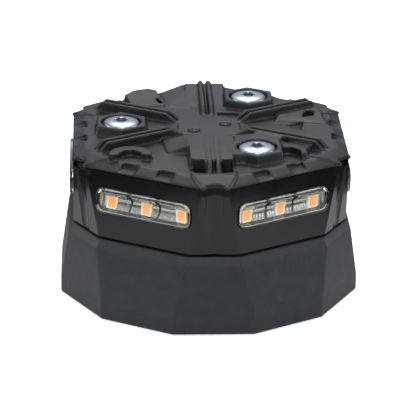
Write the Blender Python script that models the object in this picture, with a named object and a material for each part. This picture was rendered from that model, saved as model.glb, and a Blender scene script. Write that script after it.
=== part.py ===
"""LED safety flare: a six-sided lamp head that lifts out of a twelve-sided magnetic holder.

Every size below is in millimetres and is turned to metres when a mesh is made. The origin is the centre of the
holder's underside, +Z is up, and the corner of the head that faces -Y is its front corner.
"""

import math

import bmesh
import bpy
from mathutils import Matrix, Vector

MM = 0.001
GAP = 0.3                      # left between neighbouring pieces

# Holder: a regular twelve-sided foot that closes to a chamfered hexagon at its rim
FOOT_APOTHEM = 54.9
FOOT_BAND = 6.0                # height of the upright band round the foot
SHOULDER = (25.8, 51.9, 54.2)  # height, face distance and corner distance
RIM = (29.2, 50.4, 52.6)
SOCKET_R = 41.0
SOCKET_FLOOR = 24.4
PAD_APOTHEM = 49.6
PAD_THICK = 3.0
TRAY_R = 43.5
TRAY_TOP = 16.7
MAGNET_R, MAGNET_THICK, MAGNET_CIRCLE = 12.0, 6.0, 25.0

# Head: outside of the lamp housing
FACE = 50.0                    # half the width across the lit faces
HEAD_BOTTOM = 30.2
HOUSING_TOP = 55.3
CORNER_LOW, CORNER_HIGH = 52.5, 54.85
RIDGE_TOP = 53.0
RIDGE_BACK = 52.8
FLUTE_HALF, FLUTE_DEEP = 3.3, 1.6      # the groove down each corner: half its width, and its depth
FLUTE_CENTRE, FLUTE_LEAN = 55.1, 1.55  # its middle at the top, and how far it leans in at the bottom
INNER_FACE, INNER_CORNER = 47.4, 51.0
LEDGE_FACE, LEDGE_CORNER = 45.4, 49.2
LEDGE = (33.6, 35.4)

# Windows, lenses and light emitters
WINDOW_Z = 44.4
LENS_LENGTH, LENS_HEIGHT, LENS_RADIUS = 38.2, 9.4, 3.0
LENS_FRONT, LENS_BACK, LENS_FLANGE = 51.3, 46.4, 47.1
LENS_WALL = 1.2
FLANGE_LENGTH, FLANGE_HEIGHT = 39.0, 12.4
EMITTER_Z, EMITTER_PITCH = 43.1, 14.1
EMITTER_WIDTH, EMITTER_HEIGHT = 4.2, 4.9
EMITTER_FRONT, EMITTER_BACK = 47.6, 46.1
STRIP_FRONT, STRIP_BACK = 46.0, 45.0
STRIP_LENGTH, STRIP_BOTTOM, STRIP_TOP = 41.0, 37.9, 50.0

# Bottom cover, pillars and seals
COVER_FACE, COVER_CORNER = 47.0, 50.5
PLATE = (30.6, 33.3)
SPIGOT_R, SPIGOT_BOTTOM = 40.4, 25.2
GRIP_GROOVE = (26.8, 29.0, 38.4)
PILLAR_CIRCLE = 32.3
PILLAR_R, PILLAR_STEP, PILLAR_NECK_R, PILLAR_TOP = 6.3, 49.4, 5.2, 55.2
INSERT_R, INSERT_BORE, INSERT_BOTTOM = 4.0, 3.2, 46.4
SEAL_OUT, SEAL_IN, SEAL_GROOVE = 47.1, 46.0, 45.7
TOP_SEAL = (53.5, 54.8)
CONTACT_R, CONTACT_X = 3.0, 10.0

# Screws
SCREW_HEAD_R, SCREW_SEAT, SCREW_SHANK_R, SCREW_END = 6.6, 60.1, 2.9, 47.0
SCREW_DOME = [(6.6, 1.1), (6.1, 1.5), (4.9, 2.0), (3.4, 2.3), (0, 2.4)]   # radius, height above the seat
LOBE_OUT, LOBE_IN, LOBE_DEPTH = 2.75, 2.0, 1.7

# Tread cover
COVER_BOTTOM = 55.6
COVER_RIM_FACE, COVER_RIM_CORNER = 50.2, 54.4
FLOOR, FLOOR_FACE, FLOOR_CORNER = 58.2, 45.8, 50.0
HUB_Z, HUB_R = 59.7, 13.0      # the floor of the sectors rises gently from FLOOR at the edge to the hub
HUB_FLOOR = 59.2
CEILING = 56.2
RIB_Z, RIB_TOP_WIDE, RIB_FOOT_WIDE, RIB_PITCH = 62.3, 1.5, 2.3, 3.1
RIB_INNER, RIB_RISE, RIB_BEND, RIB_OUTER = 11.5, 17.2, 44.5, 49.0
BLOCK_Z, ARCH_Z = 62.0, 60.9
DRAFT = 1.0                    # how far a block's walls spread at its foot
BOSS_HALF, BOSS_Z = 8.8, 61.9
RECESS_R = 7.35
CORNER_TIP, CORNER_TIP_Z = 55.8, 56.6
PLATE_WIDE, PLATE_TIP_WIDE, PLATE_RISE = 7.8, 4.7, 0.7
NOTCH_PITCH, NOTCH_WIDE, NOTCH_BACK, NOTCH_OPEN = 14.6, 6.6, 44.9, 50.6
NOTCH_FLOOR = (56.4, 56.15)    # height at its back and where it opens over the rim
POCKET_FLOOR, DEEP_POCKET_FLOOR = 57.2, 54.4
ROOM_FACE, ROOM_CORNER = 39.6, 38.4    # the hollow under the cover
LIP_FACE, LIP_CORNER, LIP_BOTTOM = 46.9, 50.2, 52.6
UNDER_BOSS_R, SCREW_HOLE_R = 8.5, 3.4
SEAL_CORNER = 3.3              # how much farther out a seal's corners are than its faces

# Buttons, board and battery
BUTTON_AT = {"power": (6.2, 2.2), "mode": (-5.7, -4.4)}
BUTTON_R, BUTTON_TOP = 1.9, 60.0
BUTTON_FLANGE_R, BUTTON_FLANGE = 3.0, (55.1, 55.9)
STEM_R, STEM_END = 1.4, 53.6
SWITCH_SIDE, SWITCH = 6.0, (51.5, 53.3)
BOARD_FACE, BOARD_CORNER, BOARD = 42.0, 46.0, (49.8, 51.4)
BATTERY_SIZE, BATTERY_BOTTOM = (50.0, 34.0, 10.5), 33.7

SIDES = [60.0 * k for k in range(6)]            # directions of the lit faces
CORNERS = [30.0 + 60.0 * k for k in range(6)]   # directions of the corners
SCREWS = [60.0, 180.0, 300.0]                   # directions of the screws and pillars

MATERIALS = {
    # name: (red, green, blue), roughness, metallic
    "tread_nylon": ((0.060, 0.064, 0.068), 0.52, 0.0),
    "housing_polycarbonate": ((0.012, 0.013, 0.014), 0.18, 0.0),
    "holder_rubber": ((0.030, 0.033, 0.036), 0.75, 0.0),
    "clear_polycarbonate": ((0.80, 0.82, 0.80), 0.05, 0.0),
    "zinc_steel": ((0.62, 0.63, 0.65), 0.30, 1.0),
    "brass": ((0.72, 0.53, 0.25), 0.35, 1.0),
    "magnet_nickel": ((0.60, 0.59, 0.56), 0.25, 1.0),
    "board_white": ((0.56, 0.57, 0.53), 0.45, 0.0),
    "board_green": ((0.03, 0.18, 0.08), 0.45, 0.0),
    "amber_emitter": ((0.95, 0.42, 0.12), 0.50, 0.0),
    "switch_black": ((0.02, 0.02, 0.02), 0.45, 0.0),
    "seal_rubber": ((0.04, 0.04, 0.04), 0.80, 0.0),
    "battery_wrap": ((0.10, 0.22, 0.42), 0.40, 0.0),
}


def clear_scene():
    for obj in list(bpy.data.objects):
        bpy.data.objects.remove(obj)


def material(name):
    made = bpy.data.materials.get(name)
    if made is None:
        colour, roughness, metallic = MATERIALS[name]
        made = bpy.data.materials.new(name)
        made.use_nodes = True
        shader = made.node_tree.nodes["Principled BSDF"]
        shader.inputs["Base Color"].default_value = (*colour, 1.0)
        shader.inputs["Roughness"].default_value = roughness
        shader.inputs["Metallic"].default_value = metallic
    return made


def add_object(name, bm, material_name=None, smooth=None):
    """Turns a bmesh in millimetres into an object in metres. With no material it is a hidden helper."""
    bmesh.ops.recalc_face_normals(bm, faces=bm.faces)
    bmesh.ops.scale(bm, vec=(MM, MM, MM), verts=bm.verts)
    mesh = bpy.data.meshes.new(name)
    bm.to_mesh(mesh)
    bm.free()
    obj = bpy.data.objects.new(name, mesh)
    bpy.context.scene.collection.objects.link(obj)
    if material_name is None:
        obj.hide_render = True
        obj.display_type = "WIRE"
    else:
        mesh.materials.append(material(material_name))
    if smooth is not None:
        mesh.shade_smooth()
        mesh.set_sharp_from_angle(angle=math.radians(smooth))
    return obj


def turned(obj, degrees):
    """Turns an object's mesh about the part's vertical axis, so that its origin stays at the part's origin."""
    obj.data.transform(Matrix.Rotation(math.radians(degrees), 4, "Z"))
    return obj


def boolean(obj, helpers, operation):
    """Adds one Boolean modifier that joins or cuts with all the helpers."""
    group = bpy.data.collections.new(f"{obj.name}_{operation.lower()}_{len(obj.modifiers)}")
    bpy.context.scene.collection.children.link(group)
    for helper in helpers:
        bpy.context.scene.collection.objects.unlink(helper)
        group.objects.link(helper)
    modifier = obj.modifiers.new(group.name, "BOOLEAN")
    modifier.operation = operation
    modifier.operand_type = "COLLECTION"
    modifier.collection = group
    return obj


def polar(radius, degrees):
    angle = math.radians(degrees)
    return radius * math.cos(angle), radius * math.sin(angle)


def chamfered_hexagon(face, corner):
    """Plan outline, anticlockwise: faces at 0, 60, ... degrees, their corners cut off square at the given distance."""
    half = (face - corner * math.cos(math.radians(30))) / math.sin(math.radians(30))
    points = []
    for direction in CORNERS:
        along, across = polar(1, direction), polar(1, direction + 90)
        for side in (-half, half):
            points.append(tuple(corner * a + side * b for a, b in zip(along, across)))
    return points


def circle(radius, centre=(0.0, 0.0), steps=32):
    return [tuple(c + p for c, p in zip(centre, polar(radius, 360 * k / steps))) for k in range(steps)]


def rectangle(width, height, centre=(0.0, 0.0)):
    x, y = centre
    return [(x + i * width / 2, y + j * height / 2) for i, j in ((-1, -1), (1, -1), (1, 1), (-1, 1))]


def rounded_rectangle(width, height, radius, centre=(0.0, 0.0), steps=4):
    points = []
    for quarter, (i, j) in enumerate(((1, 1), (-1, 1), (-1, -1), (1, -1))):
        middle = (centre[0] + i * (width / 2 - radius), centre[1] + j * (height / 2 - radius))
        for step in range(steps + 1):
            x, y = polar(radius, 90 * quarter + 90 * step / steps)
            points.append((middle[0] + x, middle[1] + y))
    return points


def spread(points, amount):
    """The outline with each point moved out from the outline's middle by that amount."""
    middle = Vector((sum(p[0] for p in points), sum(p[1] for p in points))) / len(points)
    moved = []
    for point in points:
        away = Vector(point) - middle
        moved.append(tuple(Vector(point) + away.normalized() * amount))
    return moved


def loft(rings):
    """A closed solid through rings of (height, outline), all with the same number of points."""
    bm = bmesh.new()
    loops = [[bm.verts.new((x, y, z)) for x, y in outline] for z, outline in rings]
    bm.faces.new(reversed(loops[0]))
    bm.faces.new(loops[-1])
    for low, high in zip(loops, loops[1:]):
        for k in range(len(low)):
            after = (k + 1) % len(low)
            bm.faces.new((low[k], low[after], high[after], high[k]))
    return bm


def prism(outline, bottom, top):
    return loft([(bottom, outline), (top, outline)])


def side_prism(profile, start, end):
    """A profile of (distance from the axis, height) points, extruded across from start to end."""
    bm = bmesh.new()
    first = [bm.verts.new((r, start, z)) for r, z in profile]
    second = [bm.verts.new((r, end, z)) for r, z in profile]
    bm.faces.new(reversed(first))
    bm.faces.new(second)
    for k in range(len(profile)):
        after = (k + 1) % len(profile)
        bm.faces.new((first[k], first[after], second[after], second[k]))
    return bm


def revolved(profile, centre=(0.0, 0.0), steps=32):
    """A solid turned from (radius, height) points that start and end on its axis."""
    bm = bmesh.new()
    verts = [bm.verts.new((r, 0, z)) for r, z in profile]
    edges = [bm.edges.new(pair) for pair in zip(verts, verts[1:])]
    bmesh.ops.spin(
        bm, geom=verts + edges, cent=(0, 0, 0), axis=(0, 0, 1), angle=math.tau, steps=steps, use_merge=True
    )
    bmesh.ops.remove_doubles(bm, verts=bm.verts, dist=1e-4)
    bmesh.ops.translate(bm, vec=(*centre, 0), verts=bm.verts)
    return bm


def ring(outer, inner, bottom, top):
    """A hollow ring between two outlines with the same number of points."""
    bm = bmesh.new()
    loops = [
        [bm.verts.new((x, y, z)) for x, y in outline]
        for outline, z in ((outer, bottom), (outer, top), (inner, top), (inner, bottom))
    ]
    for near, far in zip(loops, loops[1:] + loops[:1]):
        for k in range(len(near)):
            after = (k + 1) % len(near)
            bm.faces.new((near[k], near[after], far[after], far[k]))
    return bm


def across_face(bm):
    """Takes a shape drawn in plan (length, height, depth) and stands it up facing +X."""
    stand = Matrix(((0, 0, 1, 0), (1, 0, 0, 0), (0, 1, 0, 0), (0, 0, 0, 1)))
    bmesh.ops.transform(bm, matrix=stand, verts=bm.verts)
    return bm


# ---------------------------------------------------------------- holder


def holder_shell():
    foot = chamfered_hexagon(FOOT_APOTHEM, FOOT_APOTHEM)
    outer = loft(
        [
            (0, foot),
            (FOOT_BAND, foot),
            (SHOULDER[0], chamfered_hexagon(*SHOULDER[1:])),
            (RIM[0], chamfered_hexagon(*RIM[1:])),
        ]
    )
    shell = add_object("holder_shell", outer, "holder_rubber")
    pad_room = chamfered_hexagon(PAD_APOTHEM + GAP, PAD_APOTHEM + GAP)
    cuts = [
        add_object("holder_socket", prism(circle(SOCKET_R, steps=48), SOCKET_FLOOR, RIM[0] + 5)),
        add_object("holder_pad_room", prism(pad_room, -5, PAD_THICK)),
        add_object("holder_tray_room", prism(circle(TRAY_R + GAP, steps=48), 1, TRAY_TOP + GAP)),
    ]
    boolean(shell, cuts, "DIFFERENCE")


def foot_pad():
    outline = chamfered_hexagon(PAD_APOTHEM, PAD_APOTHEM)
    add_object("foot_pad", prism(outline, 0, PAD_THICK), "seal_rubber")


def magnet_tray():
    bottom = PAD_THICK + GAP
    tray = add_object("magnet_tray", prism(circle(TRAY_R, steps=48), bottom, TRAY_TOP), "switch_black")
    pockets = []
    for number, direction in enumerate(SCREWS, 1):
        centre = polar(MAGNET_CIRCLE, direction)
        pocket = circle(MAGNET_R + GAP, centre)
        pockets.append(
            add_object(f"magnet_pocket_{number}", prism(pocket, bottom - 5, bottom + MAGNET_THICK + 2 * GAP))
        )
        magnet = prism(circle(MAGNET_R, centre), bottom + GAP, bottom + GAP + MAGNET_THICK)
        add_object(f"magnet_{number}", magnet, "magnet_nickel", smooth=30)
    boolean(tray, pockets, "DIFFERENCE")


# ---------------------------------------------------------------- head: lower half


def bottom_cover():
    outline = chamfered_hexagon(COVER_FACE, COVER_CORNER)
    cover = add_object("bottom_cover", prism(outline, *PLATE), "housing_polycarbonate")
    spigot = circle(SPIGOT_R, steps=48)
    joined = [add_object("spigot", prism(spigot, SPIGOT_BOTTOM, PLATE[0] + 1))]
    bores = []
    for number, direction in enumerate(SCREWS, 1):
        centre = polar(PILLAR_CIRCLE, direction)
        profile = [
            (0, PLATE[1] - 1),
            (PILLAR_R, PLATE[1] - 1),
            (PILLAR_R, PILLAR_STEP),
            (PILLAR_NECK_R, PILLAR_STEP),
            (PILLAR_NECK_R, PILLAR_TOP),
            (0, PILLAR_TOP),
        ]
        joined.append(add_object(f"pillar_{number}", revolved(profile, centre, 24)))
        bore = circle(INSERT_R + GAP / 2, centre, 24)
        bores.append(add_object(f"pillar_bore_{number}", prism(bore, INSERT_BOTTOM - GAP, PILLAR_TOP + 5)))
    boolean(cover, joined, "UNION")
    low, high, floor = GRIP_GROOVE
    groove = ring(circle(SPIGOT_R + 5, steps=48), circle(floor, steps=48), low, high)
    bores.append(add_object("grip_groove", groove))
    seal_room = ring(
        chamfered_hexagon(COVER_FACE + 5, COVER_CORNER + 5),
        chamfered_hexagon(SEAL_GROOVE, SEAL_GROOVE + SEAL_CORNER),
        PLATE[0] + 0.8,
        PLATE[1] - 0.8,
    )
    bores.append(add_object("bottom_seal_groove", seal_room))
    for side in (-1, 1):
        hole = circle(CONTACT_R + GAP, (side * CONTACT_X, 0), 24)
        bores.append(add_object(f"contact_hole_{side}", prism(hole, SPIGOT_BOTTOM - 5, SPIGOT_BOTTOM + 4)))
    boolean(cover, bores, "DIFFERENCE")


def seals():
    outer = chamfered_hexagon(SEAL_OUT, SEAL_OUT + SEAL_CORNER)
    inner = chamfered_hexagon(SEAL_IN, SEAL_IN + SEAL_CORNER)
    add_object("bottom_seal", ring(outer, inner, PLATE[0] + 0.9, PLATE[1] - 0.9), "seal_rubber")
    add_object("top_seal", ring(outer, inner, *TOP_SEAL), "seal_rubber")
    low, high, floor = GRIP_GROOVE
    grip = ring(circle(SPIGOT_R + 0.3, steps=48), circle(floor + GAP, steps=48), low + 0.2, high - 0.2)
    add_object("grip_ring", grip, "seal_rubber", smooth=30)


def charge_contacts():
    for number, side in enumerate((-1, 1), 1):
        disc = prism(circle(CONTACT_R, (side * CONTACT_X, 0), 24), SPIGOT_BOTTOM + 0.1, SPIGOT_BOTTOM + 3.6)
        add_object(f"charge_contact_{number}", disc, "brass", smooth=30)


# ---------------------------------------------------------------- head: lamp housing and lights


def flute(name, direction):
    """The groove down a corner: a round back, open outwards, that leans in with the corner below the ridges."""

    def outline(lean):
        middle = FLUTE_CENTRE - lean
        back = [polar(1, 90 + 180 * k / 8) for k in range(9)]
        points = [(middle + FLUTE_DEEP * x, FLUTE_HALF * y) for x, y in back]
        return points + [(middle + 6, -FLUTE_HALF), (middle + 6, FLUTE_HALF)]

    rings = [(HEAD_BOTTOM - 1, outline(FLUTE_LEAN)), (RIDGE_TOP, outline(0)), (65, outline(0))]
    return turned(add_object(name, loft(rings)), direction)


def lamp_housing():
    outer = loft(
        [
            (HEAD_BOTTOM, chamfered_hexagon(FACE, CORNER_LOW)),
            (RIDGE_TOP, chamfered_hexagon(FACE, CORNER_HIGH)),
            (HOUSING_TOP, chamfered_hexagon(FACE, CORNER_HIGH)),
        ]
    )
    housing = add_object("lamp_housing", outer, "housing_polycarbonate")
    inner = chamfered_hexagon(INNER_FACE, INNER_CORNER)
    ledge = chamfered_hexagon(LEDGE_FACE, LEDGE_CORNER)
    cuts = [
        add_object("housing_low_room", prism(inner, HEAD_BOTTOM - 5, LEDGE[0])),
        add_object("housing_ledge_room", prism(ledge, LEDGE[0] - 1, LEDGE[1] + 1)),
        add_object("housing_high_room", prism(inner, LEDGE[1], HOUSING_TOP + 5)),
    ]
    for number, direction in enumerate(CORNERS, 1):
        cuts.append(flute(f"flute_{number}", direction))
        shelf = rectangle(10, 13, (RIDGE_BACK + 5, 0))
        cuts.append(turned(add_object(f"shelf_{number}", prism(shelf, RIDGE_TOP, HOUSING_TOP + 5)), direction))
    for number, direction in enumerate(SIDES, 1):
        opening = rounded_rectangle(
            LENS_LENGTH + 2 * GAP, LENS_HEIGHT + 2 * GAP, LENS_RADIUS + GAP, (0, WINDOW_Z)
        )
        window = add_object(f"window_{number}", across_face(prism(opening, INNER_FACE - 1, FACE + 5)))
        cuts.append(turned(window, direction))
    boolean(housing, cuts, "DIFFERENCE")


def lens(number, direction):
    """A clear cup that fills a window and stands proud of it, with a flange behind the wall."""
    outline = rounded_rectangle(LENS_LENGTH, LENS_HEIGHT, LENS_RADIUS, (0, WINDOW_Z))
    front = rounded_rectangle(LENS_LENGTH - 1.6, LENS_HEIGHT - 1.6, LENS_RADIUS - 0.8, (0, WINDOW_Z))
    flange = rounded_rectangle(FLANGE_LENGTH, FLANGE_HEIGHT, LENS_RADIUS, (0, WINDOW_Z))
    block = loft(
        [
            (LENS_BACK, flange),
            (LENS_FLANGE, flange),
            (LENS_FLANGE, outline),
            (LENS_FRONT - 0.8, outline),
            (LENS_FRONT, front),
        ]
    )
    cup = add_object(f"lens_{number}", across_face(block), "clear_polycarbonate")
    hollow = rounded_rectangle(
        LENS_LENGTH - 2 * LENS_WALL, LENS_HEIGHT - LENS_WALL, LENS_RADIUS - LENS_WALL / 2, (0, WINDOW_Z)
    )
    room = add_object(f"lens_room_{number}", across_face(prism(hollow, LENS_BACK - 2, LENS_FRONT - LENS_WALL)))
    turned(boolean(cup, [turned(room, direction)], "DIFFERENCE"), direction)


def light_strip(number, direction):
    """The upright circuit board behind a window, and its three emitters."""
    middle = (STRIP_BOTTOM + STRIP_TOP) / 2
    board = rectangle(STRIP_LENGTH, STRIP_TOP - STRIP_BOTTOM, (0, middle))
    strip = across_face(prism(board, STRIP_BACK, STRIP_FRONT))
    turned(add_object(f"light_strip_{number}", strip, "board_white"), direction)
    for letter, place in zip("abc", (-1, 0, 1)):
        outline = rectangle(EMITTER_WIDTH, EMITTER_HEIGHT, (place * EMITTER_PITCH, EMITTER_Z))
        emitter = across_face(prism(outline, EMITTER_BACK, EMITTER_FRONT))
        turned(add_object(f"emitter_{number}{letter}", emitter, "amber_emitter"), direction)


# ---------------------------------------------------------------- head: tread cover


def hexagon(half, centre):
    """Plan of a hexagon with a flat towards +X, as the head has."""
    return [tuple(c + p for c, p in zip(centre, polar(half / math.cos(math.pi / 6), d))) for d in CORNERS]


def block(name, outline, top, draft=DRAFT):
    """A raised tread block whose walls spread towards the floor. Its top is one height, or one for each point."""
    heights = top if isinstance(top, list) else [top] * len(outline)
    bm = loft([(FLOOR - 1, spread(outline, draft)), (0, outline)])
    bm.verts.ensure_lookup_table()
    for vert, height in zip(bm.verts[len(outline):], heights):
        vert.co.z = height
    bmesh.ops.triangulate(bm, faces=bm.faces)
    return add_object(name, bm)


def double_rib(number, direction):
    """Two parallel ribs with drafted walls, from the hub to the corner, with a groove between them."""
    foot = FLOOR - 1
    profile = [(RIB_INNER, HUB_FLOOR), (RIB_RISE, RIB_Z), (RIB_BEND, RIB_Z), (RIB_OUTER, FLOOR)]
    ribs = []
    for side, sign in (("left", 1), ("right", -1)):
        bm = bmesh.new()
        rows = []
        for shift, wide in ((RIB_FOOT_WIDE, True), (RIB_TOP_WIDE, False)):
            for edge in (-shift / 2, shift / 2):
                across = sign * RIB_PITCH / 2 + edge
                rows.append([bm.verts.new((r, across, foot if wide else z)) for r, z in profile])
        low_a, low_b, high_a, high_b = rows
        loops = [low_a, high_a, high_b, low_b]
        for near, far in zip(loops, loops[1:] + loops[:1]):
            for k in range(len(profile) - 1):
                bm.faces.new((near[k], near[k + 1], far[k + 1], far[k]))
        bm.faces.new([row[0] for row in loops])
        bm.faces.new([row[-1] for row in reversed(loops)])
        ribs.append(turned(add_object(f"rib_{number}_{side}", bm), direction))
    return ribs


def corner_plate(number, direction):
    """The sloping plate at a corner, narrower towards its tip."""
    low, start = COVER_BOTTOM, 44.0
    profile = [
        (start, low),
        (start, FLOOR + PLATE_RISE),
        (RIB_OUTER, FLOOR + PLATE_RISE),
        (CORNER_TIP, CORNER_TIP_Z),
        (CORNER_TIP, low),
    ]
    plate = side_prism(profile, -PLATE_WIDE, PLATE_WIDE)
    for vert in plate.verts:
        if vert.co.x > CORNER_TIP - 1:
            vert.co.y *= PLATE_TIP_WIDE / PLATE_WIDE
    return turned(add_object(f"corner_plate_{number}", plate), direction)


def arch(centre, inner, outer, start, end, steps=12):
    """Plan of part of a ring, from one direction to another."""
    sweep = [start + (end - start) * k / steps for k in range(steps + 1)]
    points = [polar(outer, d) for d in sweep] + [polar(inner, d) for d in reversed(sweep)]
    return [(centre[0] + x, centre[1] + y) for x, y in points]


# Outlines of the tread blocks, seen from above, and the height of their tops
BLOCKS = {
    "front_tongue": (
        [(-9.0, -10.0), (9.0, -10.0), (8.4, -16.5), (6.8, -41.5), (-3.5, -41.5), (-8.3, -40.0), (-8.3, -16.5)],
        [HUB_FLOOR, HUB_FLOOR, BLOCK_Z, BLOCK_Z, BLOCK_Z, BLOCK_Z, BLOCK_Z],
    ),
    "front_wedge": (
        [(-9.0, -10.0), (-8.0, -16.5), (-8.0, -26.5), (-15.8, -26.5), (-17.8, -13.5)],
        [HUB_FLOOR, BLOCK_Z, BLOCK_Z, FLOOR + 0.9, FLOOR + 1.4],
    ),
    "screw_platform": (
        [
            (2.0, -12.5), (9.5, -11.0), (15.5, -14.5), (17.0, -12.0), (26.5, -17.0),
            (24.5, -21.0), (25.0, -28.0), (20.5, -35.0), (7.0, -36.0),
        ],
        [HUB_Z, HUB_Z, BLOCK_Z, BLOCK_Z, BLOCK_Z, BLOCK_Z, BLOCK_Z, BLOCK_Z, BLOCK_Z],
    ),
    "back_block": ([(6.8, 24.0), (7.4, 44.0), (-7.4, 44.0), (-6.8, 24.0)], [59.2, 61.3, 61.3, 59.2]),
    "back_slope": (
        [(-6.0, 22.0), (-6.0, 44.0), (-8.5, 45.0), (-17.0, 40.5), (-14.0, 24.0)],
        [59.2, 60.8, 60.5, 58.8, 59.0],
    ),
    "back_mound": (
        [(-15.5, 24.0), (-18.5, 36.5), (-21.5, 38.4), (-27.0, 36.4), (-30.5, 32.6), (-28.0, 23.0)],
        [59.5, 61.3, 61.4, 61.4, 61.0, 59.4],
    ),
    "right_ramp": (
        [(25.0, 6.5), (44.0, 5.0), (42.0, 20.5), (26.5, 11.5)],
        [59.3, 58.7, 60.3, 60.3],
    ),
    "bitten_block": (
        [(24.5, -18.6), (36.2, -23.6), (34.2, -26.4), (34.0, -30.6), (32.4, -31.4), (22.0, -31.0)],
        [60.7] * 6,
    ),
}
ARCH = ((-29.4, -31.4), 3.9, 7.8, -8.0, 188.0)  # centre, inner and outer radius, start and end direction
BITE = ((27.0, -29.6), 4.9, 25.3)               # centre, radius and left edge
POCKETS = {
    # name: outline, and the height of its floor
    "front_left": ([(-7.0, -45.6), (-3.1, -46.4), (-3.1, -40.9), (-7.4, -40.5)], DEEP_POCKET_FLOOR),
    "front_right": ([(3.1, -46.4), (6.4, -45.4), (6.7, -40.8), (3.1, -40.8)], DEEP_POCKET_FLOOR),
    "right_slot": ([(35.2, 9.6), (39.6, 12.0), (40.4, 16.4), (36.6, 15.4)], POCKET_FLOOR),
    "right_dent": ([(28.6, 3.6), (33.8, -1.4), (35.6, 6.6)], POCKET_FLOOR + 0.3),
    "hub_back": ([(3.9, 13.4), (11.3, 11.8), (13.2, 14.4), (10.8, 17.0), (4.2, 17.6)], POCKET_FLOOR),
    "back_pit": ([(-19.3, 29.6), (-17.4, 25.6), (-16.2, 26.4), (-18.2, 30.4)], POCKET_FLOOR),
}


def bite_outline(centre, radius, left):
    """Plan of the round bite out of a block: an arc to the right of a straight left edge."""
    start = math.degrees(math.acos((left - centre[0]) / radius))
    arc_points = [tuple(c + p for c, p in zip(centre, polar(radius, start * k / 10))) for k in range(11)]
    low = centre[1] - radius
    return [(left, low), (centre[0] + radius, low)] + arc_points


def tread_cover():
    body = loft(
        [
            (COVER_BOTTOM, chamfered_hexagon(COVER_RIM_FACE, COVER_RIM_CORNER)),
            (COVER_BOTTOM + 0.5, chamfered_hexagon(COVER_RIM_FACE, COVER_RIM_CORNER)),
            (FLOOR, chamfered_hexagon(FLOOR_FACE, FLOOR_CORNER)),
            (HUB_FLOOR, chamfered_hexagon(HUB_R - 1, HUB_R)),
        ]
    )
    cover = add_object("tread_cover", body, "tread_nylon")
    lip = chamfered_hexagon(LIP_FACE, LIP_CORNER)
    joined = [
        add_object("lip", prism(lip, LIP_BOTTOM, COVER_BOTTOM + 1)),
        add_object("hub", prism([polar(HUB_R, d) for d in CORNERS], FLOOR - 1, HUB_Z)),
    ]
    for name, (outline, heights) in BLOCKS.items():
        joined.append(block(name, outline, heights))
    joined.append(add_object("left_arch", prism(arch(*ARCH), FLOOR - 1, ARCH_Z)))
    for number, direction in enumerate(SCREWS, 1):
        boss = hexagon(BOSS_HALF, polar(PILLAR_CIRCLE, direction))
        joined.append(block(f"screw_boss_{number}", boss, BOSS_Z, draft=1.3))
    for number, direction in enumerate(CORNERS, 1):
        joined += double_rib(number, direction)
        joined.append(corner_plate(number, direction))
    boolean(cover, joined, "UNION")
    boolean(cover, cover_cuts(), "DIFFERENCE")


def cover_cuts():
    cuts = [add_object("cover_room", prism(chamfered_hexagon(ROOM_FACE, ROOM_CORNER), 50, CEILING))]
    for number, direction in enumerate(CORNERS, 1):
        cuts.append(flute(f"cover_flute_{number}", direction))
    for number, direction in enumerate(SIDES, 1):
        for letter, side in zip("ab", (-1, 1)):
            profile = [
                (NOTCH_BACK, NOTCH_FLOOR[0]),
                (NOTCH_OPEN, NOTCH_FLOOR[1]),
                (NOTCH_OPEN, 70),
                (NOTCH_BACK, 70),
            ]
            middle = side * NOTCH_PITCH / 2
            sides = (middle - NOTCH_WIDE / 2, middle + NOTCH_WIDE / 2)
            notch = add_object(f"notch_{number}{letter}", side_prism(profile, *sides))
            cuts.append(turned(notch, direction))
    for name, (outline, floor) in POCKETS.items():
        cuts.append(add_object(f"pocket_{name}", prism(outline, floor, 70)))
    cuts.append(add_object("bite", prism(bite_outline(*BITE), FLOOR - 0.6, 70)))
    for name, centre in BUTTON_AT.items():
        cuts.append(add_object(f"{name}_hole", prism(circle(BUTTON_R + GAP, centre, 24), 50, 70)))
    for number, direction in enumerate(SCREWS, 1):
        centre = polar(PILLAR_CIRCLE, direction)
        cuts.append(add_object(f"recess_{number}", prism(circle(RECESS_R, centre), SCREW_SEAT, 70)))
        cuts.append(add_object(f"screw_hole_{number}", prism(circle(SCREW_HOLE_R, centre, 24), 50, 70)))
    seal_room = ring(
        chamfered_hexagon(COVER_RIM_FACE, COVER_RIM_CORNER - 1),
        chamfered_hexagon(SEAL_GROOVE, SEAL_GROOVE + SEAL_CORNER),
        TOP_SEAL[0] - 0.1,
        TOP_SEAL[1] + 0.1,
    )
    cuts.append(add_object("top_seal_groove", seal_room))
    return cuts


def cover_bosses():
    """Thickens the cover under each screw, down to the pillar."""
    cover = bpy.data.objects["tread_cover"]
    rings = []
    for number, direction in enumerate(SCREWS, 1):
        centre = polar(PILLAR_CIRCLE, direction)
        outer, inner = circle(UNDER_BOSS_R, centre, 24), circle(SCREW_HOLE_R, centre, 24)
        rings.append(add_object(f"under_boss_{number}", ring(outer, inner, PILLAR_TOP + GAP, CEILING + 0.6)))
    boolean(cover, rings, "UNION")


# ---------------------------------------------------------------- head: screws, buttons and inner pieces


def star(outer, inner, centre):
    """Plan of a six-lobed driver recess."""
    points = []
    for k in range(24):
        wave = 0.5 + 0.5 * math.cos(math.radians(6 * 15 * k))
        x, y = polar(inner + (outer - inner) * wave, 15 * k)
        points.append((centre[0] + x, centre[1] + y))
    return points


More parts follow.
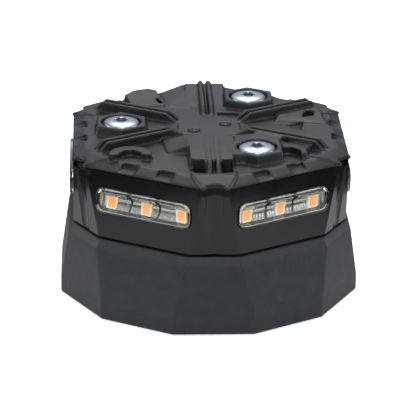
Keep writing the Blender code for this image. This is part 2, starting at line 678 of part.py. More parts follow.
def screw(number, direction):
    """A flanged button-head screw with a six-lobed recess."""
    centre = polar(PILLAR_CIRCLE, direction)
    seat = SCREW_SEAT + 0.1
    profile = [(0, SCREW_END), (SCREW_SHANK_R, SCREW_END), (SCREW_SHANK_R, seat), (SCREW_HEAD_R, seat)]
    profile += [(radius, seat + height) for radius, height in SCREW_DOME]
    made = add_object(f"screw_{number}", revolved(profile, centre, 28), "zinc_steel", smooth=35)
    lobes = star(LOBE_OUT, LOBE_IN, centre)
    cut = add_object(f"screw_recess_{number}", prism(lobes, seat + SCREW_DOME[-1][1] - LOBE_DEPTH, seat + 6))
    boolean(made, [cut], "DIFFERENCE")
    insert = ring(circle(INSERT_R, centre, 24), circle(INSERT_BORE, centre, 24), INSERT_BOTTOM, PILLAR_TOP - 0.2)
    add_object(f"insert_{number}", insert, "brass", smooth=30)


def button(name, centre):
    """A push button held under the cover by its flange, over its switch."""
    profile = [
        (0, STEM_END),
        (STEM_R, STEM_END),
        (STEM_R, BUTTON_FLANGE[0]),
        (BUTTON_FLANGE_R, BUTTON_FLANGE[0]),
        (BUTTON_FLANGE_R, BUTTON_FLANGE[1]),
        (BUTTON_R, BUTTON_FLANGE[1]),
        (BUTTON_R, BUTTON_TOP - 0.4),
        (BUTTON_R - 0.4, BUTTON_TOP),
        (0, BUTTON_TOP),
    ]
    add_object(f"{name}_button", revolved(profile, centre, 24), "tread_nylon", smooth=30)
    body = prism(rectangle(SWITCH_SIDE, SWITCH_SIDE, centre), *SWITCH)
    switch = add_object(f"{name}_switch", body, "switch_black")
    hole = add_object(f"{name}_switch_hole", prism(circle(STEM_R + 0.35, centre, 16), SWITCH[1] - 1.1, SWITCH[1] + 5))
    boolean(switch, [hole], "DIFFERENCE")


def main_board():
    outline = chamfered_hexagon(BOARD_FACE, BOARD_CORNER)
    board = add_object("main_board", prism(outline, *BOARD), "board_green")
    holes = []
    for number, direction in enumerate(SCREWS, 1):
        hole = circle(PILLAR_NECK_R + 0.4, polar(PILLAR_CIRCLE, direction), 24)
        holes.append(add_object(f"board_hole_{number}", prism(hole, BOARD[0] - 5, BOARD[1] + 5)))
    boolean(board, holes, "DIFFERENCE")
    top = BOARD[1] + 0.1
    add_object("controller_chip", prism(rectangle(8, 8, (-12, 16)), top, top + 1.2), "switch_black")
    add_object("radio_module", prism(rectangle(14, 10, (24, -2)), top, top + 2.2), "zinc_steel")


def battery():
    length, width, thick = BATTERY_SIZE
    outline = rounded_rectangle(length, width, 3.0, steps=3)
    add_object("battery_pack", prism(outline, BATTERY_BOTTOM, BATTERY_BOTTOM + thick), "battery_wrap")
    low = BATTERY_BOTTOM + thick + 0.1
    add_object("battery_foam", prism(rectangle(40, 24), low, BOARD[0] - 0.1), "seal_rubber")


def main():
    clear_scene()
    holder_shell()
    foot_pad()
    magnet_tray()
    bottom_cover()
    seals()
    charge_contacts()
    lamp_housing()
    for number, direction in enumerate(SIDES, 1):
        lens(number, direction)
        light_strip(number, direction)
    tread_cover()
    cover_bosses()
    for number, direction in enumerate(SCREWS, 1):
        screw(number, direction)
    for name, centre in BUTTON_AT.items():
        button(name, centre)
    main_board()
    battery()


main()
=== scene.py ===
"""The looks of the LED safety flare: finer shells, reflectors, lenses and fasteners, and a plain studio.

Shapes are in millimetres until add_piece brings them to metres. The camera, lights and floor are in metres.
"""

import math

import bmesh
import bpy
from mathutils import Matrix, Vector


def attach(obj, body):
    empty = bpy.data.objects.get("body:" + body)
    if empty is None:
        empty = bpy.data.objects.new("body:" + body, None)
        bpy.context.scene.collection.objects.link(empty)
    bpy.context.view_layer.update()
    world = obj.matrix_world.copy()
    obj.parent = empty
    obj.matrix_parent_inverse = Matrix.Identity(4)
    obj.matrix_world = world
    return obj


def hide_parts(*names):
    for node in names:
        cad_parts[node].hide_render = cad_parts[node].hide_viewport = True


MM = 0.001
SIDES = [60 * k for k in range(6)]          # directions of the lit faces
SCREWS = [60, 180, 300]                     # directions of the screws
SCREW_CIRCLE = 32.3
BUTTONS = {"power": (6.2, 2.2), "mode": (-5.7, -4.4)}

# Lenses and what lies behind them, in the frame of a lit face: x outwards, y across, z up
WINDOW_Z, WINDOW_ROUND = 44.4, 3.1
LENS_BACK, LENS_STEP, LENS_SHOULDER, LENS_EDGE = 46.4, 47.1, 50.7, 0.6
LENS_SIZE, FLANGE_SIZE, HOLLOW_SIZE = (38.2, 9.4), (39.0, 12.4), (37.0, 8.4)
HOLLOW_FRONT, HOLLOW_EDGE, HOLLOW_ROUND = 50.4, 0.7, 2.6
LED_PLACES, LED_Z = (-14.1, 0.0, 14.1), 43.1
LED_ROOM = 2.25                             # half the room a lamp takes in the reflector
LED_WINDOW_SIZE = (1.48, 1.98)              # half the width and height inside which a lamp is amber
REFLECTOR_BACK, REFLECTOR_LOW, REFLECTOR_HIGH = 46.45, 41.0, 47.8
REFLECTOR_GAPS, REFLECTOR_END = (-6.6, 4.9), 17.9
SLIT = 0.42                                 # half the dark slit at each gap
FLUTE_WIDE, FLUTE_DEEP = 0.55, 0.07         # the fine upright flutes of the troughs
FILM = (46.08, 46.32)                       # back and front of the black film
ROUND_STEPS = 4                             # facets round a lens edge

CAMERA_LENS, CAMERA_FAR, CAMERA_SHIFT = 223.7, 0.9662, -0.0052
CAMERA_AZIMUTH, CAMERA_ELEVATION, CAMERA_ROLL = 2.6, 21.6, 0.56
CAMERA_TARGET = (0, 0, 0.028)
SOFTBOX_TARGET = (0, 0, 0.03)
SOFTBOXES = {                               # place, side, power in watts
    "overhead": ((0.03, 0.5, 0.8), 0.6, 3.4),
    "backdrop": ((0.0, 1.2, 0.45), 1.0, 1.0),
    "front_fill": ((0.0, -1.2, 0.7), 0.8, 4.5),
    "key": ((0.02, -0.33, 0.95), 0.3, 2.5),
    "left_side": ((-1.1, 0.1, 0.35), 0.8, 7.0),
    "right_side": ((1.1, 0.1, 0.35), 0.8, 6.0),
}
SKY_HEIGHT, SKY_STRENGTH = (-0.1, 0.8), (0.05, 0.66)   # the room brightens upwards between these heights
FLOOR_GLOW = 0.55
WASH_RANGE, WANDER_RANGE = (0.35, 0.65), (0.3, 0.7)    # the parts of a noise pattern that are stretched

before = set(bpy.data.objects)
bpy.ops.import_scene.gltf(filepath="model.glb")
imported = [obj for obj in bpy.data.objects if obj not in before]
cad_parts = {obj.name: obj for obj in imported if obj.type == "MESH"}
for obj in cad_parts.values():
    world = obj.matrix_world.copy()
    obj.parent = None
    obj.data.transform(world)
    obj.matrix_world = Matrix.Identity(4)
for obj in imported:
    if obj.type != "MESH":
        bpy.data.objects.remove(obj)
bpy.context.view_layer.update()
HEAD, HOLDER = "lamp_head", "holder"


# ---------------------------------------------------------------- colours and materials


def tint(hex_colour):
    """An sRGB hex colour as linear RGBA."""
    channels = [int(hex_colour[k : k + 2], 16) / 255 for k in (1, 3, 5)]
    linear = [c / 12.92 if c <= 0.04045 else ((c + 0.055) / 1.055) ** 2.4 for c in channels]
    return (*linear, 1.0)


def add_node(tree, kind, settings=None, inputs=None, links=None):
    """Adds a node with its settings, its input values and the outputs that feed its inputs."""
    made = tree.nodes.new(kind)
    for name, value in (settings or {}).items():
        setattr(made, name, value)
    for name, value in (inputs or {}).items():
        made.inputs[name].default_value = value
    for name, source in (links or {}).items():
        tree.links.new(source, made.inputs[name])
    return made


def finish_material(
    name, base, roughness, bump=(), colour_wash=None, rough_wash=0.0, wash_mm=9.0, **shader_values
):
    """A Principled finish with grain.

    bump is a list of (pattern size in mm, height in mm); colour_wash is a second colour that drifts over the
    first; rough_wash is how far the roughness wanders either way, over patches of wash_mm.
    """
    material = bpy.data.materials.new(name)
    material.use_nodes = True
    tree = material.node_tree
    shader = tree.nodes["Principled BSDF"]
    shader.inputs["Base Color"].default_value = tint(base)
    shader.inputs["Roughness"].default_value = roughness
    for socket, value in shader_values.items():
        shader.inputs[socket.replace("_", " ")].default_value = value
    place = add_node(tree, "ShaderNodeTexCoord").outputs["Object"]
    wash = add_node(
        tree,
        "ShaderNodeTexNoise",
        inputs={"Scale": 1 / (wash_mm * MM), "Detail": 4.0, "Roughness": 0.6},
        links={"Vector": place},
    ).outputs["Fac"]
    if colour_wash:
        spread = add_node(
            tree,
            "ShaderNodeMapRange",
            inputs={"From Min": WASH_RANGE[0], "From Max": WASH_RANGE[1]},
            links={"Value": wash},
        ).outputs["Result"]
        mix = add_node(tree, "ShaderNodeMix", {"data_type": "RGBA"}, links={"Factor": spread})
        colours = [s for s in mix.inputs if s.type == "RGBA"]
        colours[0].default_value, colours[1].default_value = tint(base), tint(colour_wash)
        tree.links.new([s for s in mix.outputs if s.type == "RGBA"][0], shader.inputs["Base Color"])
    if rough_wash:
        span = {"To Min": roughness - rough_wash, "To Max": roughness + rough_wash}
        wander = add_node(
            tree,
            "ShaderNodeMapRange",
            inputs={"From Min": WANDER_RANGE[0], "From Max": WANDER_RANGE[1], **span},
            links={"Value": wash},
        )
        tree.links.new(wander.outputs["Result"], shader.inputs["Roughness"])
    normal = None
    for size, height in bump:
        grain = add_node(
            tree,
            "ShaderNodeTexNoise",
            inputs={"Scale": 1 / (size * MM), "Detail": 2.0},
            links={"Vector": place},
        ).outputs["Fac"]
        made = add_node(
            tree, "ShaderNodeBump", inputs={"Strength": 1.0, "Distance": height * MM}, links={"Height": grain}
        )
        if normal:
            tree.links.new(normal, made.inputs["Normal"])
        normal = made.outputs["Normal"]
    if normal:
        tree.links.new(normal, shader.inputs["Normal"])
    return material


def clear_finish(name, base, ior, roughness):
    """A clear plastic that bends what is seen through it and lets light through to what is behind it."""
    material = finish_material(name, base, roughness, IOR=ior, Transmission_Weight=1.0)
    tree = material.node_tree
    output = tree.nodes["Material Output"]
    passing = add_node(tree, "ShaderNodeBsdfTransparent", inputs={"Color": tint("#e4e6e2")}).outputs["BSDF"]
    shadow = add_node(tree, "ShaderNodeLightPath").outputs["Is Shadow Ray"]
    plastic = tree.nodes["Principled BSDF"].outputs["BSDF"]
    mix = add_node(tree, "ShaderNodeMixShader", links={0: shadow, 1: plastic, 2: passing})
    tree.links.new(mix.outputs["Shader"], output.inputs["Surface"])
    return material


# Glass-filled nylon, moulded in a spark-eroded tool: black with a soft sheen and fine pits
TREAD = finish_material(
    "glass_filled_nylon_tread", "#121517", 0.42, bump=[(0.55, 0.05), (3.2, 0.10)], colour_wash="#191c1e",
    rough_wash=0.07, Specular_IOR_Level=0.37,
)
# Polycarbonate, moulded in a polished tool: black and glossy, with reflections that ripple slightly
HOUSING = finish_material(
    "polycarbonate_gloss_black", "#0b0c0c", 0.16, bump=[(7.0, 0.035)], rough_wash=0.05, wash_mm=14.0,
    Specular_IOR_Level=0.42,
)
# Thermoplastic rubber, moulded in a blasted tool: dark grey and matt, with a fine even grain
RUBBER = finish_material(
    "thermoplastic_rubber_holder", "#13171a", 0.58, bump=[(0.5, 0.11), (1.6, 0.10)], colour_wash="#1d2225",
    rough_wash=0.06, wash_mm=5.0,
)
# Solid rubber, pressed: dead matt charcoal
PAD = finish_material(
    "ribbed_rubber_pad", "#1d1e1f", 0.75, bump=[(0.7, 0.08)], colour_wash="#242526", wash_mm=6.0
)
# Polycarbonate, moulded in a polished tool: water clear, with crisp reflections
CLEAR = clear_finish("clear_polycarbonate", "#f6f8f5", 1.585, 0.03)
# Vacuum-metallised plastic: pale grey satin reflections
REFLECTOR = finish_material(
    "metallised_reflector_plastic", "#d6d6d1", 0.22, bump=[(1.2, 0.03)], rough_wash=0.08, wash_mm=1.6,
    Metallic=1.0,
)
# Polyester film, printed black: flat and dark, put in to paint the shade at the bottom of the lens cavity
SHADE_FILM = finish_material("black_painted_shade_film", "#08090a", 0.5, bump=[(0.8, 0.01)], rough_wash=0.05, wash_mm=3.0)
# White reflective thermoplastic, moulded: slightly warm frame of a lamp, made bright by a painted glow
LED_CASE_WITH_PAINTED_GLOW = finish_material(
    "led_package_white_painted_glow", "#f0f0ea", 0.45, bump=[(0.3, 0.01)], Emission_Color=tint("#fff6ec"),
    Emission_Strength=0.26,
)
# Silicone gel with phosphor, cast: even, soft amber, with a painted glow that keeps it bright behind the lens
LED_WINDOW_WITH_PAINTED_GLOW = finish_material(
    "amber_phosphor_gel_painted_glow", "#ff9d4f", 0.35, colour_wash="#ffa95f", wash_mm=0.6, Emission_Color=tint("#ff9a4d"),
    Emission_Strength=0.7,
)
# White solder mask, printed on a board: clean off-white with a low gloss
BOARD_WHITE = finish_material(
    "white_solder_mask", "#d5d6cf", 0.4, bump=[(1.0, 0.02)], colour_wash="#c6c8c0", wash_mm=2.0
)
# Green solder mask, printed on a board: deep green with a low gloss
BOARD_GREEN = finish_material(
    "green_solder_mask", "#1f6b3c", 0.38, bump=[(1.5, 0.03)], colour_wash="#237544", wash_mm=3.0
)
# Steel, turned and zinc plated: bright and faintly blue, with a satin highlight
ZINC = finish_material(
    "zinc_plated_steel", "#a8aeb6", 0.29, bump=[(0.9, 0.006)], colour_wash="#9ca5b0", rough_wash=0.05,
    wash_mm=1.5, Metallic=1.0,
)
# Sintered magnet, nickel plated: smooth, warm silver
NICKEL = finish_material(
    "nickel_plated_magnet", "#c6c3bb", 0.22, rough_wash=0.05, bump=[(2.0, 0.01)], Metallic=1.0
)
# Brass, turned: soft yellow shine
BRASS = finish_material(
    "turned_brass", "#d8b56a", 0.3, rough_wash=0.06, bump=[(0.6, 0.02)], wash_mm=1.2, Metallic=1.0
)
# Copper alloy, gold plated: clear yellow shine
GOLD = finish_material(
    "gold_plated_contact", "#e6c06a", 0.24, rough_wash=0.05, bump=[(0.8, 0.01)], wash_mm=1.2, Metallic=1.0
)
# Silicone rubber, moulded: near black with a soft sheen
SILICONE = finish_material("silicone_seal", "#232425", 0.5, bump=[(0.8, 0.02)], rough_wash=0.05, wash_mm=4.0)
# Closed-cell foam, cut from sheet: dark, dull and pitted
FOAM = finish_material(
    "closed_cell_foam", "#2c2d2f", 0.9, bump=[(0.7, 0.25)], colour_wash="#37393b", wash_mm=1.0
)
# Epoxy, moulded round a chip: flat charcoal
CHIP = finish_material("epoxy_chip_body", "#181819", 0.5, bump=[(0.5, 0.02)], rough_wash=0.04, wash_mm=2.0)
# Steel sheet, tinned and pressed: light grey metal with a soft shine
TIN = finish_material(
    "tinned_steel_shield", "#c2c2be", 0.3, bump=[(1.5, 0.02)], rough_wash=0.06, wash_mm=3.0, Metallic=1.0
)
# Shrink film round a battery: blue, slightly wrinkled and shiny
WRAP = finish_material(
    "battery_film_blue", "#3b6ea8", 0.32, bump=[(6.0, 0.12)], colour_wash="#4176b2", wash_mm=8.0
)
# Styrene plastic, moulded in a textured tool: black with a dull sheen
TRAY = finish_material("black_abs_tray", "#191a1b", 0.48, bump=[(0.6, 0.03)], rough_wash=0.05, wash_mm=5.0)


# ---------------------------------------------------------------- making pieces


def add_piece(name, bm, material, body, hides=(), sharp=None):
    """Turns a bmesh in millimetres into a piece that rides on a body and hides the CAD nodes it replaces."""
    bmesh.ops.remove_doubles(bm, verts=bm.verts, dist=1e-4)
    bmesh.ops.recalc_face_normals(bm, faces=bm.faces)
    bmesh.ops.scale(bm, vec=(MM, MM, MM), verts=bm.verts)
    mesh = bpy.data.meshes.new(name)
    bm.to_mesh(mesh)
    bm.free()
    mesh.materials.append(material)
    if sharp is not None:
        mesh.shade_smooth()
        mesh.set_sharp_from_angle(angle=math.radians(sharp))
    piece = bpy.data.objects.new(name, mesh)
    bpy.context.scene.collection.objects.link(piece)
    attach(piece, body)
    if hides:
        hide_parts(*hides)
    return piece


def node_copy(node):
    """A CAD node's mesh in millimetres, with its loose triangles merged."""
    bm = bmesh.new()
    bm.from_mesh(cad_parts[node].data)
    bmesh.ops.scale(bm, vec=(1 / MM, 1 / MM, 1 / MM), verts=bm.verts)
    bmesh.ops.remove_doubles(bm, verts=bm.verts, dist=1e-3)
    return bm


def moulded(node, name, material, body, voxel, passes, keep):
    """A copy of a node with the soft edges and inner fillets that a moulding tool leaves."""
    piece = add_piece(name, node_copy(node), material, body, hides=[node])
    remesh = piece.modifiers.new("fillets", "REMESH")
    remesh.mode, remesh.voxel_size = "VOXEL", voxel * MM
    smooth = piece.modifiers.new("soften", "SMOOTH")
    smooth.factor, smooth.iterations = 0.5, passes
    thin = piece.modifiers.new("thin", "DECIMATE")
    thin.ratio = keep
    depsgraph = bpy.context.evaluated_depsgraph_get()
    mesh = bpy.data.meshes.new_from_object(piece.evaluated_get(depsgraph))
    piece.modifiers.clear()
    piece.data = mesh
    mesh.shade_smooth()
    return piece


def bevelled(node, name, material, body, width, sharpest):
    """A copy of a node with every edge that turns by more than sharpest degrees rounded over width."""
    bm = node_copy(node)
    bmesh.ops.dissolve_limit(bm, angle_limit=math.radians(0.6), verts=bm.verts, edges=bm.edges)
    edges = [e for e in bm.edges if len(e.link_faces) == 2 and e.calc_face_angle() > math.radians(sharpest)]
    bmesh.ops.bevel(
        bm, geom=edges, offset=width, segments=3, profile=0.5, affect="EDGES", clamp_overlap=True, material=-1
    )
    bmesh.ops.triangulate(bm, faces=[f for f in bm.faces if len(f.verts) > 4])
    piece = add_piece(name, bm, material, body, hides=[node], sharp=40)
    weigh = piece.modifiers.new("even_faces", "WEIGHTED_NORMAL")
    weigh.keep_sharp = True
    return piece


def dress(material, *nodes):
    """Gives CAD nodes their finish."""
    for node in nodes:
        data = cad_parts[node].data
        data.materials.clear()
        data.materials.append(material)


def lofted(rings):
    """A closed body through rings of points, all with the same number of points."""
    bm = bmesh.new()
    loops = [[bm.verts.new(point) for point in ring] for ring in rings]
    bm.faces.new(reversed(loops[0]))
    bm.faces.new(loops[-1])
    for low, high in zip(loops, loops[1:]):
        for k in range(len(low)):
            after = (k + 1) % len(low)
            bm.faces.new((low[k], low[after], high[after], high[k]))
    return bm


def joined(bodies):
    """Several closed bodies as one mesh."""
    whole = bmesh.new()
    for body in bodies:
        mesh = bpy.data.meshes.new("body")
        body.to_mesh(mesh)
        body.free()
        whole.from_mesh(mesh)
        bpy.data.meshes.remove(mesh)
    return whole


def turned(bm, degrees):
    """A shape turned about the upright axis, from the frame of a lit face to its place."""
    turn = Matrix.Rotation(math.radians(degrees), 3, "Z")
    bmesh.ops.rotate(bm, verts=bm.verts, cent=(0, 0, 0), matrix=turn)
    return bm


def polar(radius, degrees):
    """The x and y of a point at a radius and a direction."""
    angle = math.radians(degrees)
    return radius * math.cos(angle), radius * math.sin(angle)


def window_ring(x, size, rounding, steps=6):
    """A rounded outline of a window, in the plane at x."""
    points = []
    for quarter, (i, j) in enumerate(((1, 1), (-1, 1), (-1, -1), (1, -1))):
        for step in range(steps + 1):
            y, z = polar(rounding, 90 * quarter + 90 * step / steps)
            points.append((x, i * (size[0] / 2 - rounding) + y, WINDOW_Z + j * (size[1] / 2 - rounding) + z))
    return points


# ---------------------------------------------------------------- stage


def camera():
    look_at = Vector(CAMERA_TARGET)
    azimuth, elevation, roll = (math.radians(a) for a in (CAMERA_AZIMUTH, CAMERA_ELEVATION, CAMERA_ROLL))
    data = bpy.data.cameras.new("camera")
    data.lens, data.sensor_width, data.shift_y = CAMERA_LENS, 36, CAMERA_SHIFT
    made = bpy.data.objects.new("camera", data)
    flat, up = CAMERA_FAR * math.cos(elevation), CAMERA_FAR * math.sin(elevation)
    place = look_at + Vector((-flat * math.sin(azimuth), -flat * math.cos(azimuth), up))
    turn = (look_at - place).to_track_quat("-Z", "Y").to_matrix().to_4x4() @ Matrix.Rotation(roll, 4, "Z")
    made.matrix_world = Matrix.Translation(place) @ turn
    bpy.context.scene.collection.objects.link(made)
    bpy.context.scene.camera = made


def softbox(name, place, side, power):
    """A square area light that faces the flare."""
    data = bpy.data.lights.new(name, "AREA")
    data.shape, data.size, data.energy = "SQUARE", side, power
    made = bpy.data.objects.new(name, data)
    turn = (Vector(SOFTBOX_TARGET) - Vector(place)).to_track_quat("-Z", "Y").to_matrix().to_4x4()
    made.matrix_world = Matrix.Translation(place) @ turn
    bpy.context.scene.collection.objects.link(made)


def floor_card(name, radius, place, paper, mirrored):
    """A round card on the floor; a mirrored one shows only in reflections and through the lenses."""
    bm = bmesh.new()
    bmesh.ops.create_circle(bm, cap_ends=True, segments=64, radius=radius)
    mesh = bpy.data.meshes.new(name)
    bm.to_mesh(mesh)
    bm.free()
    mesh.materials.append(paper)
    card = bpy.data.objects.new(name, mesh)
    card.location = place
    card.visible_glossy = card.visible_transmission = mirrored
    card.visible_camera = card.visible_diffuse = card.visible_shadow = not mirrored
    bpy.context.scene.collection.objects.link(card)


def stage():
    """A white room that brightens upwards, six softboxes and a pale floor."""
    world = bpy.data.worlds.new("studio")
    bpy.context.scene.world = world
    world.use_nodes = True
    tree = world.node_tree
    room = tree.nodes["Background"]
    room.inputs["Color"].default_value = tint("#edf4ff")
    view = add_node(tree, "ShaderNodeTexCoord").outputs["Generated"]
    height = add_node(tree, "ShaderNodeSeparateXYZ", links={"Vector": view}).outputs["Z"]
    sky = add_node(
        tree,
        "ShaderNodeMapRange",
        inputs={
            "From Min": SKY_HEIGHT[0], "From Max": SKY_HEIGHT[1],
            "To Min": SKY_STRENGTH[0], "To Max": SKY_STRENGTH[1],
        },
        links={"Value": height},
    )
    tree.links.new(sky.outputs["Result"], room.inputs["Strength"])
    plain = add_node(tree, "ShaderNodeBackground", inputs={"Color": (1, 1, 1, 1), "Strength": 1.0}).outputs[0]
    seen = add_node(tree, "ShaderNodeLightPath").outputs["Is Camera Ray"]
    mix = add_node(tree, "ShaderNodeMixShader", links={0: seen, 1: room.outputs[0], 2: plain})
    tree.links.new(mix.outputs[0], tree.nodes["World Output"].inputs["Surface"])
    for name, (place, side, power) in SOFTBOXES.items():
        softbox(name, place, side, power)
    white = finish_material(
        "white_card", "#f7f7f7", 0.8, Emission_Color=(1, 1, 1, 1), Emission_Strength=FLOOR_GLOW
    )
    grey = finish_material("grey_card", "#dadada", 0.8)
    floor_card("floor", 2.5, (0, 0, -0.0004), white, mirrored=False)
    floor_card("near_floor", 0.14, (0, -0.045, -0.0002), grey, mirrored=True)
    bpy.context.scene.view_settings.view_transform = "Standard"


# ---------------------------------------------------------------- pieces


def lens(number, direction):
    """A clear cup with rounded front edges and a flange, hollow behind its front wall."""
    rings = []
    for step in range(ROUND_STEPS, -1, -1):
        angle = math.radians(90 * step / ROUND_STEPS)
        x = HOLLOW_FRONT - HOLLOW_EDGE + HOLLOW_EDGE * math.sin(angle)
        inset = HOLLOW_EDGE * (1 - math.cos(angle))
        rings.append(window_ring(x, [side - 2 * inset for side in HOLLOW_SIZE], HOLLOW_ROUND - inset))
    rings.append(window_ring(LENS_BACK, HOLLOW_SIZE, HOLLOW_ROUND))
    rings.append(window_ring(LENS_BACK, FLANGE_SIZE, WINDOW_ROUND))
    rings.append(window_ring(LENS_STEP, FLANGE_SIZE, WINDOW_ROUND))
    rings.append(window_ring(LENS_STEP, LENS_SIZE, WINDOW_ROUND))
    for step in range(ROUND_STEPS + 1):
        angle = math.radians(90 * step / ROUND_STEPS)
        inset = LENS_EDGE * (1 - math.cos(angle))
        x = LENS_SHOULDER + LENS_EDGE * math.sin(angle)
        rings.append(window_ring(x, [side - 2 * inset for side in LENS_SIZE], WINDOW_ROUND - inset))
    bm = turned(lofted(rings), direction)
    add_piece(f"lens_{number}_moulding", bm, CLEAR, HEAD, hides=[f"lens_{number}"], sharp=30)


def reflector_block(start, end, curve_start, curve_end):
    """A trough between two places across the window, with upright flutes and ends that may bulge."""
    back, low, high = REFLECTOR_BACK, REFLECTOR_LOW, REFLECTOR_HIGH
    trough = [
        (back, low), (48.3, low), (48.3, low + 0.2), (47.6, low + 0.9), (47.2, low + 1.9),
        (47.1, low + 2.9), (47.2, low + 3.9), (47.6, low + 4.8), (48.2, low + 5.5), (48.8, low + 5.8),
        (49.2, low + 5.9), (49.2, high), (back, high),
    ]
    count = max(2, round((end - start) / FLUTE_WIDE))
    rings = []
    for k in range(count + 1):
        part = k / count
        bulge = curve_start * (1 - part) + curve_end * part
        wave = FLUTE_DEEP * (k % 2) if 0 < k < count else 0.0
        ring = []
        for x, z in trough:
            shift = bulge * (1 - ((z - low - 3.0) / 3.6) ** 2)
            ring.append((x + (wave if x > back else 0.0), start + (end - start) * part + shift, z))
        rings.append(ring)
    return lofted(rings)


def reflector_end(side):
    """The upright wall that closes the reflector at an outer end, curving forward."""
    rings = []
    for part in (0.0, 0.35, 0.7, 1.0):
        y = side * (LED_PLACES[2] + LED_ROOM + (REFLECTOR_END - LED_PLACES[2] - LED_ROOM) * part)
        front = 47.2 + 2.2 * part**2
        low, high = REFLECTOR_LOW + 1.4 * part**2, REFLECTOR_HIGH - 0.4 * part**2
        rings.append([(REFLECTOR_BACK, y, low), (front, y, low), (front, y, high), (REFLECTOR_BACK, y, high)])
    return lofted(rings if side > 0 else rings[::-1])


def reflector(number, direction):
    """The pale moulding round the lamps: troughs, a ledge over each lamp and a small peg under it."""
    clear = 0.05
    left, middle, right = LED_PLACES
    gap_left, gap_right = REFLECTOR_GAPS
    bodies = [
        reflector_block(left + LED_ROOM, gap_left - SLIT, 0.0, 0.5),
        reflector_block(gap_left + SLIT, middle - LED_ROOM, 0.5, 0.0),
        reflector_block(middle + LED_ROOM, gap_right - SLIT, 0.0, 0.5),
        reflector_block(gap_right + SLIT, right - LED_ROOM, 0.5, 0.0),
        reflector_end(-1),
        reflector_end(1),
    ]
    ledge = [(48.5, 45.9), (48.8, 46.1), (48.8, REFLECTOR_HIGH)]
    ledge = [(REFLECTOR_BACK, 45.9), *ledge, (REFLECTOR_BACK, REFLECTOR_HIGH)]
    for place in LED_PLACES:
        rows = (place - LED_ROOM + clear, place + LED_ROOM - clear)
        bodies.append(lofted([[(x, y, z) for x, z in ledge] for y in rows]))
        middle_of_peg = (place - 0.3, REFLECTOR_LOW - 0.1)
        peg = [tuple(a + b for a, b in zip(middle_of_peg, polar(0.3, 45 * k))) for k in range(8)]
        bodies.append(lofted([[(x, y, z) for y, z in peg] for x in (47.7, 48.3)]))
    add_piece(f"reflector_{number}", turned(joined(bodies), direction), REFLECTOR, HEAD)


def mask(number, direction):
    """The black film round the lower edge and ends of a light strip, which paints the shade at the bottom of
    the lens cavity.

    Each gap of the reflector has a dark catch over it and a dark sheet behind it, which together paint the
    shade of the gap. Each end has a shield.
    """
    low, sill, top, end, side = 38.1, REFLECTOR_LOW - 0.1, 49.8, 20.3, 18.2
    outline = [
        (-end, low), (end, low), (end, top), (side, top),
        (side, sill), (-side, sill), (-side, top), (-end, top),
    ]
    bodies = [lofted([[(x, y, z) for y, z in outline] for x in FILM])]
    for gap in REFLECTOR_GAPS:
        catch = [(-0.3, 46.5), (0.3, 46.3), (1.3, 47.0), (1.3, 47.5), (0.5, 47.4)]
        catch = [(gap + y, z) for y, z in catch]
        bodies.append(lofted([[(x, y, z) for y, z in catch] for x in (49.25, 49.4)]))
        shade = [(gap - 0.9, sill + 0.1), (gap + 1.4, sill + 0.1), (gap + 1.4, 47.6), (gap - 0.9, 47.6)]
        bodies.append(lofted([[(x, y, z) for y, z in shade] for x in FILM]))
    for place in (-18.3, 18.0):
        shield = [(place, 42.0), (place + 0.3, 42.0), (place + 0.3, 46.8), (place, 46.8)]
        bodies.append(lofted([[(x, y, z) for y, z in shield] for x in (REFLECTOR_BACK, 49.9)]))
    # this black film is painted shade in the lens cavity
    add_piece(f"mask_{number}", turned(joined(bodies), direction), SHADE_FILM, HEAD)


def lamp(number, letter, place, direction):
    """A light-emitting diode: a white package with softened edges round a sunk amber window."""
    corners = ((-1, -1), (1, -1), (1, 1), (-1, 1))
    steps = [                               # how far out, half the width, half the height
        (46.1, 2.1, 2.45), (47.45, 2.1, 2.45), (47.6, 1.98, 2.33),
        (47.6, 1.56, 2.06), (47.36, 1.46, 1.96), (47.44, 0.7, 1.2),
    ]
    window_x = 47.3
    rings = [[(x, place + i * half, LED_Z + j * tall) for i, j in corners] for x, half, tall in steps]
    bm = turned(lofted(rings), direction)
    name = f"emitter_{number}{letter}"
    # the white package and its amber window both carry a painted glow
    piece = add_piece(f"{name}_package", bm, LED_CASE_WITH_PAINTED_GLOW, HEAD, hides=[name])
    piece.data.materials.append(LED_WINDOW_WITH_PAINTED_GLOW)
    outward = Vector((*polar(1, direction), 0))
    for face in piece.data.polygons:
        middle = Vector(face.center) / MM
        across = abs(middle.dot(Vector((*polar(1, direction + 90), 0))) - place)
        up = abs(middle.z - LED_Z)
        if middle.dot(outward) > window_x and across < LED_WINDOW_SIZE[0] and up < LED_WINDOW_SIZE[1]:
            face.material_index = 1


def screw(number, direction):
    """A button-head screw, its head turned to a fine dome with a six-lobed recess."""
    centre = polar(SCREW_CIRCLE, direction)
    steps = 72

    def round_ring(radius, z):
        spots = (polar(radius, 360 * k / steps) for k in range(steps))
        return [(centre[0] + x, centre[1] + y, z) for x, y in spots]

    def lobed_ring(scale, z, grow=0.0):
        ring = []
        for k in range(steps):
            wave = 0.5 + 0.5 * math.cos(math.radians(6 * 360 * k / steps))
            x, y = polar(scale * (1.95 + 0.8 * wave**1.4) + grow, 360 * k / steps)
            ring.append((centre[0] + x, centre[1] + y, z))
        return ring

    profile = [                             # radius and height, from the tip up over the head
        (2.5, 47.0), (2.9, 47.4), (2.9, 60.2), (6.35, 60.2), (6.6, 60.42), (6.6, 61.1),
        (6.48, 61.36), (6.2, 61.6), (5.7, 61.84), (5.0, 62.07), (4.2, 62.27), (3.6, 62.38),
    ]
    rings = [round_ring(radius, z) for radius, z in profile]
    rings += [lobed_ring(1.0, 62.46, 0.22), lobed_ring(1.0, 62.38, 0.06), lobed_ring(1.0, 62.15)]
    rings += [lobed_ring(0.97, 60.75), lobed_ring(0.5, 60.55), lobed_ring(0.1, 60.45)]
    bm = lofted(rings)
    add_piece(f"button_screw_{number}", bm, ZINC, HEAD, hides=[f"screw_{number}"], sharp=34)


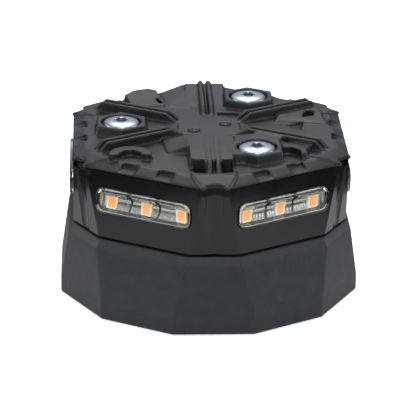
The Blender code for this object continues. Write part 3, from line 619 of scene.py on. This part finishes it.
def button(name, centre):
    """A push button with a sunk ring round its slightly domed middle."""
    profile = [                             # radius and height, from the foot up over the ring
        (1.4, 53.6), (1.4, 55.1), (3.0, 55.1), (3.0, 55.9), (1.9, 55.9), (1.9, 59.7), (1.78, 59.88),
        (1.55, 59.95), (1.4, 59.9), (1.3, 59.6), (1.12, 59.6), (1.02, 59.86), (0.8, 59.95), (0.4, 60.0),
    ]
    rings = [
        [(centre[0] + x, centre[1] + y, z) for x, y in (polar(radius, 360 * k / 32) for k in range(32))]
        for radius, z in profile
    ]
    body = f"{name}_button"
    add_piece(f"{name}_button_cap", lofted(rings), TREAD, body, hides=[body], sharp=30)


def foot_pad():
    """The rubber pad under the foot, twelve-sided like it, with grooves that let it grip and drain."""
    profile = [(49.6, 3.0), (49.6, 0.5), (49.1, 0.0)]
    for groove in (44.0, 38.0, 32.0, 26.0, 20.0, 14.0):
        profile += [(groove + 0.9, 0.0), (groove + 0.6, 0.7), (groove - 0.6, 0.7), (groove - 0.9, 0.0)]
    rings = []
    for apothem, z in profile:
        reach = apothem / math.cos(math.radians(15))
        rings.append([(*polar(reach, 15 + 30 * k), z) for k in range(12)])
    add_piece("foot_pad_grooved", lofted(rings), PAD, HOLDER, hides=["foot_pad"])


def main():
    camera()
    stage()
    moulded("tread_cover", "tread_cover_shell", TREAD, HEAD, voxel=0.4, passes=3, keep=0.35)
    bevelled("lamp_housing", "lamp_housing_shell", HOUSING, HEAD, width=0.45, sharpest=26)
    bevelled("holder_shell", "holder_body", RUBBER, HOLDER, width=0.7, sharpest=8)
    foot_pad()
    dress(HOUSING, "bottom_cover")
    dress(TRAY, "magnet_tray")
    dress(NICKEL, "magnet_1", "magnet_2", "magnet_3")
    for name, centre in BUTTONS.items():
        button(name, centre)
    for number, direction in enumerate(SIDES, 1):
        lens(number, direction)
        reflector(number, direction)
        mask(number, direction)
        dress(BOARD_WHITE, f"light_strip_{number}")
        for letter, place in zip("abc", LED_PLACES):
            lamp(number, letter, place, direction)
    for number, direction in enumerate(SCREWS, 1):
        screw(number, direction)
        dress(BRASS, f"insert_{number}")
    dress(GOLD, "charge_contact_1", "charge_contact_2")
    dress(BOARD_GREEN, "main_board")
    dress(CHIP, "controller_chip", "power_switch", "mode_switch")
    dress(TIN, "radio_module")
    dress(SILICONE, "top_seal", "bottom_seal", "grip_ring")
    dress(FOAM, "battery_foam")
    dress(WRAP, "battery_pack")


main()
